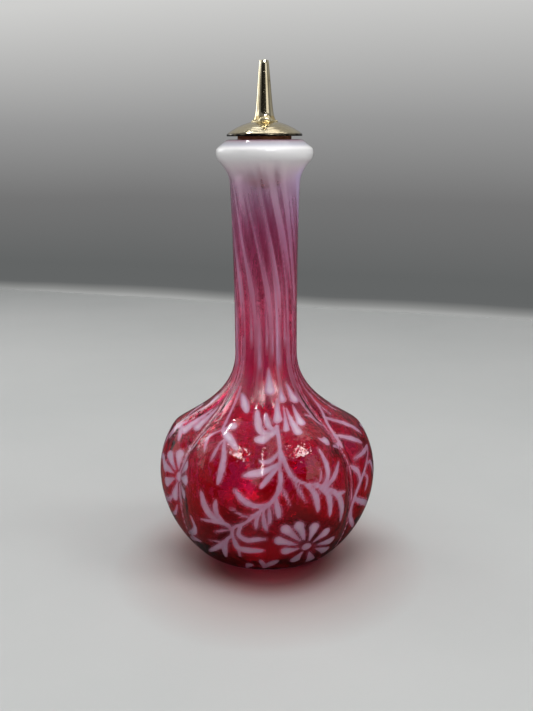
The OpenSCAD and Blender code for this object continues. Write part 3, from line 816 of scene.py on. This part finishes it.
# The backdrop's painted light, dark near its foot and bright towards its top.
BACKDROP_PAINTED_LIGHT = [
    (0.0, 0.38, 0.385, 0.38), (0.005, 0.24, 0.245, 0.24), (0.012, 0.125, 0.13, 0.13), (0.035, 0.125, 0.13, 0.13),
    (0.11, 0.175, 0.175, 0.175), (0.19, 0.31, 0.31, 0.31), (0.32, 0.62, 0.62, 0.61), (0.6, 0.8, 0.8, 0.78),
]


def mirrored(tree):
    """1 for a ray that has left a glossy surface without passing through it, and 0 for all others."""
    ray = wire(tree, "ShaderNodeLightPath").outputs
    return sums(tree, "MULTIPLY", ray["Is Glossy Ray"], sums(tree, "SUBTRACT", 1.0, ray["Is Transmission Ray"]))


def flat_piece(name, corners, finish):
    """A plain sheet of four corners."""
    mesh = bpy.data.meshes.new(name)
    mesh.from_pydata(corners, [], [(0, 1, 2, 3)])
    mesh.materials.append(finish)
    piece = bpy.data.objects.new(name, mesh)
    bpy.context.scene.collection.objects.link(piece)
    return piece


table_finish, tree, shader, place = new_finish("pale_table")
table_tone = colour_stops(tree, grain(tree, place, 6, 5), TABLE_TONES)
# Painted shadow of the bottle, darkest and reddest close round its foot.
across = wire(tree, "ShaderNodeMapping", {"Vector": place, "Scale": PAINTED_SHADOW_NARROWER}).outputs[0]
from_painted_shadow = wire(tree, "ShaderNodeVectorMath", {0: across, 1: PAINTED_SHADOW_MIDDLE}, operation="DISTANCE").outputs["Value"]
painted_red_shadow = colour_stops(tree, span(tree, from_painted_shadow, 0, PAINTED_SHADOW_REACH, kind="LINEAR"), PAINTED_SHADOW_TONES)
table_tone = blend_colour(tree, 1.0, table_tone, painted_red_shadow, "MULTIPLY")
# Reflections see the table painted nearly black, a painted dark reflection.
in_gloss = sums(tree, "MULTIPLY", mirrored(tree), 0.96)
tree.links.new(blend_colour(tree, in_gloss, table_tone, TABLE_PAINTED_DARK_IN_REFLECTIONS), shader.inputs["Base Color"])
shader.inputs["Roughness"].default_value = 0.5
shader.inputs["Specular IOR Level"].default_value = 0.3
back_left = BACKDROP_MIDDLE + SHEET_HALF * BACKDROP_SLANT
back_right = BACKDROP_MIDDLE - SHEET_HALF * BACKDROP_SLANT
table = flat_piece("table", [
    (-SHEET_HALF, SHEET_FRONT, 0), (SHEET_HALF, SHEET_FRONT, 0),
    (SHEET_HALF, back_right, 0), (-SHEET_HALF, back_left, 0),
], table_finish)
backdrop_finish, tree, shader, place = new_finish("grey_backdrop")
shader.inputs["Roughness"].default_value = 0.9
shader.inputs["Base Color"].default_value = (0.4, 0.4, 0.4, 1)
# The sheet glows with painted light, dark near its foot and bright towards its top; reflections see it at half
# strength.
up_sheet = span(tree, up_from_table(tree, place), 0.0, 1.0, kind="LINEAR")
mottle = sums(tree, "MULTIPLY", sums(tree, "SUBTRACT", grain(tree, place, 3, 2), 0.5), 0.012)
painted_backdrop_light = colour_stops(tree, sums(tree, "ADD", up_sheet, mottle), BACKDROP_PAINTED_LIGHT)
dimmer_in_gloss = span(tree, mirrored(tree), 0, 1, 1.0, 0.5, "LINEAR")
glow = wire(tree, "ShaderNodeEmission", {"Color": painted_backdrop_light, "Strength": dimmer_in_gloss}).outputs[0]
ray = wire(tree, "ShaderNodeLightPath").outputs
seen_in_piece = sums(tree, "MAXIMUM", ray["Is Glossy Ray"], ray["Is Transmission Ray"])
looked_at = sums(tree, "MAXIMUM", ray["Is Camera Ray"], seen_in_piece)
mixed = wire(tree, "ShaderNodeMixShader", {0: looked_at, 1: shader.outputs[0], 2: glow}).outputs[0]
tree.links.new(mixed, tree.nodes["Material Output"].inputs["Surface"])
backdrop = flat_piece("backdrop", [
    (-SHEET_HALF, back_left, 0), (SHEET_HALF, back_right, 0),
    (SHEET_HALF, back_right, SHEET_TOP), (-SHEET_HALF, back_left, SHEET_TOP),
], backdrop_finish)


def card(name, start, end, low, high, finish):
    """An upright card between two places on the table, which only reflections show."""
    piece = flat_piece(name, [(*start, low), (*end, low), (*end, high), (*start, high)], finish)
    piece.visible_camera = piece.visible_transmission = piece.visible_diffuse = piece.visible_shadow = False
    return piece


dark_finish, _, shader, _ = new_finish("dark_room")
shader.inputs["Base Color"].default_value = (0.01, 0.01, 0.01, 1)
shader.inputs["Roughness"].default_value = 1.0
bright_finish, _, glowing, _ = new_finish("bright_room")
glowing.inputs["Base Color"].default_value = (0, 0, 0, 1)
glowing.inputs["Emission Color"].default_value = (1, 1, 1, 1)
glowing.inputs["Emission Strength"].default_value = 1.0
dark_room = card("dark_room", (-0.8, -0.75), (0.43, -0.75), 0.0, 0.50, dark_finish)
room_right = card("room_right", (0.43, -0.75), (0.78, -0.40), 0.16, 0.48, bright_finish)
room_left = card("room_left", (-0.8, -0.20), (-0.8, 0.28), 0.16, 0.48, bright_finish)

# Light. A broad soft lamp overhead, a window behind to the left and one to the right light the bottle and its table
# in a pale room. The lamps and spots in front, above and behind light nothing: they are the glints on the shoulder,
# the lip and the metal.
LAMPS_AIM = Vector((0, 0, 0.06))


def panel(name, turn, climb, away, width, depth, shine, glints=True, lights=True):
    """A flat lamp that faces the bulb, from its turn off the front and its climb in degrees."""
    lamp = bpy.data.lights.new(name, "AREA")
    lamp.shape = "RECTANGLE"
    lamp.size, lamp.size_y, lamp.energy = width, depth, shine * math.pi * width * depth
    turn, climb = math.radians(turn), math.radians(climb)
    towards = Vector((math.sin(turn) * math.cos(climb), -math.cos(turn) * math.cos(climb), math.sin(climb)))
    holder = bpy.data.objects.new(name, lamp)
    holder.location = LAMPS_AIM + towards * away
    holder.rotation_euler = (-towards).to_track_quat("-Z", "Y").to_euler()
    holder.visible_camera = False
    holder.visible_glossy = glints
    holder.visible_diffuse = lights
    bpy.context.scene.collection.objects.link(holder)


panel("lamp_overhead", turn=0, climb=84, away=1.0, width=0.8, depth=0.8, shine=2.8, glints=False)
panel("lamp_in_front", turn=17, climb=41, away=0.9, width=0.34, depth=0.30, shine=14.0, lights=False)
panel("lamp_in_front_left", turn=-8, climb=46, away=0.9, width=0.035, depth=0.24, shine=16.0, lights=False)
panel("spot_left", turn=-24, climb=62, away=0.9, width=0.05, depth=0.06, shine=45.0, lights=False)
panel("spot_right", turn=22, climb=65, away=0.9, width=0.07, depth=0.04, shine=45.0, lights=False)
panel("lamp_in_front_right", turn=37, climb=49, away=0.9, width=0.14, depth=0.10, shine=18.0, lights=False)
panel("lamp_behind", turn=180, climb=76, away=0.9, width=0.5, depth=0.12, shine=1.7, lights=False)
panel("lamp_behind_low", turn=163, climb=66, away=0.9, width=0.66, depth=0.15, shine=1.25, lights=False)
panel("lamp_above", turn=180, climb=83, away=0.9, width=0.5, depth=0.12, shine=0.9, lights=False)
panel("spot_behind", turn=-134, climb=66, away=0.9, width=0.05, depth=0.05, shine=45.0, lights=False)
panel("window_left", turn=-127, climb=25, away=0.8, width=0.34, depth=0.34, shine=2.7)
panel("wall_left", turn=-85, climb=40, away=0.75, width=0.40, depth=0.50, shine=0.8, lights=False)
panel("window_right", turn=72, climb=42, away=0.9, width=0.35, depth=0.30, shine=4.9, glints=False)
panel("spot_far_right", turn=72, climb=42, away=0.9, width=0.17, depth=0.14, shine=7.0, lights=False)
room = bpy.data.worlds.new("pale_room")
room.use_nodes = True
tree = room.node_tree
tree.nodes["Background"].inputs["Color"].default_value = (0.62, 0.63, 0.64, 1)
tree.links.new(span(tree, mirrored(tree), 0, 1, 0.80, 0.3, "LINEAR"), tree.nodes["Background"].inputs["Strength"])
bpy.context.scene.world = room
bpy.context.scene.view_settings.view_transform = "Standard"

# Camera. It stands a little to the right of the front, at the height of the lip, and dips towards the bulb. Its
# place, dip and roll were fitted to the photograph's frame.
PHOTO_SIZE = (533, 711)
FOCAL_PX = 1068
CAMERA_AWAY = 0.4402
CAMERA_ASIDE = 0.0008
CAMERA_UP = 0.17636
CAMERA_TURN = math.radians(2.0)
CAMERA_DIP = math.radians(11.614)
CAMERA_ROLL = math.radians(0.4)
camera = bpy.data.cameras.new("camera")
camera.sensor_width = 36
camera.lens = FOCAL_PX / PHOTO_SIZE[1] * camera.sensor_width
viewer = bpy.data.objects.new("camera", camera)
viewer.location = (
    CAMERA_AWAY * math.sin(CAMERA_TURN) + CAMERA_ASIDE * math.cos(CAMERA_TURN),
    -CAMERA_AWAY * math.cos(CAMERA_TURN) + CAMERA_ASIDE * math.sin(CAMERA_TURN),
    CAMERA_UP,
)
viewer.rotation_euler = (math.radians(90) - CAMERA_DIP, CAMERA_ROLL, CAMERA_TURN)
bpy.context.scene.collection.objects.link(viewer)
bpy.context.scene.camera = viewer
